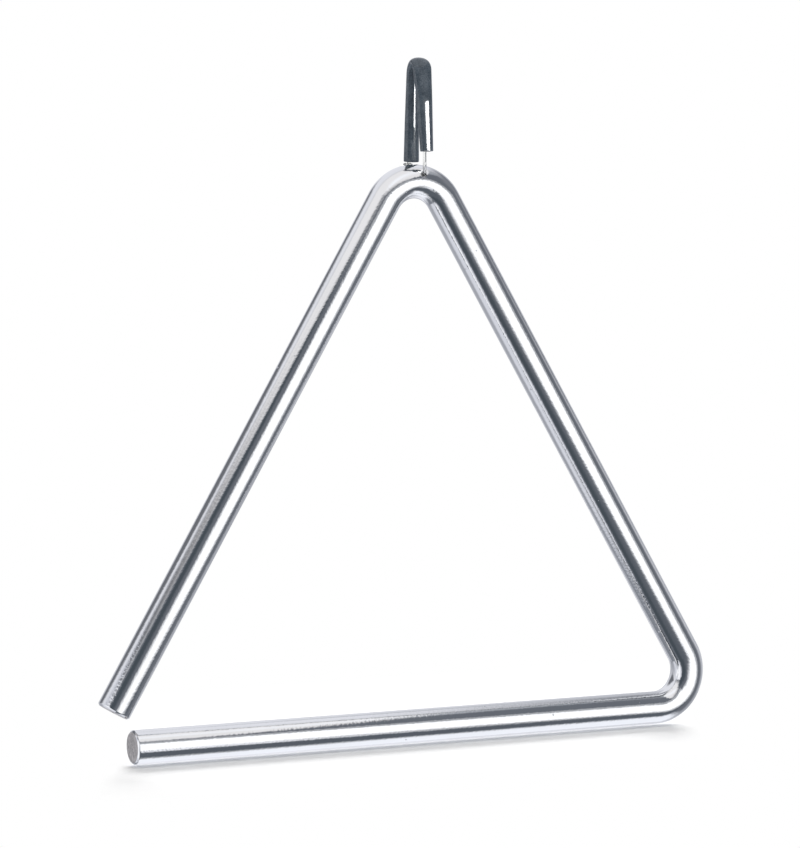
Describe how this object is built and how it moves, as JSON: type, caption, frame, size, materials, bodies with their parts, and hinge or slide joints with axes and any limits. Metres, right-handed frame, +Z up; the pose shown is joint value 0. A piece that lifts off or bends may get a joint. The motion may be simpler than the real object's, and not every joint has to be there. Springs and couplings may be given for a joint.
{
  "type": "percussion triangle",
  "caption": "Percussion triangle: a chrome-plated steel rod bent into a triangle open at one corner, hung at its apex from a nylon line in a soft black finger tube.",
  "frame": {"origin": "the hanging point, at the inside of the finger loop's top, straight above the hole across the rod's apex", "axes": "+Z up, +X towards the closed lower corner with the open corner on -X, -Y towards the player, the rod in the XZ plane"},
  "size_m": [0.1584, 0.0123, 0.1628],
  "materials": {
    "chrome_plate": "bright chrome plating over steel, with bare sawn end faces",
    "black_vinyl": "soft glossy black vinyl tube",
    "clear_nylon": "clear nylon monofilament"
  },
  "bodies": {
    "hanger": {"finger_tube": "black_vinyl", "suspension_line": "clear_nylon"},
    "triangle": {"triangle_rod": "chrome_plate"}
  },
  "joints": [
    {"name": "rod_swing", "type": "hinge", "parent": "hanger", "child": "triangle", "pos_m": [0, 0, -0.0253], "axis": [0, 1, 0], "range_deg": [-40, 40]}
  ]
}
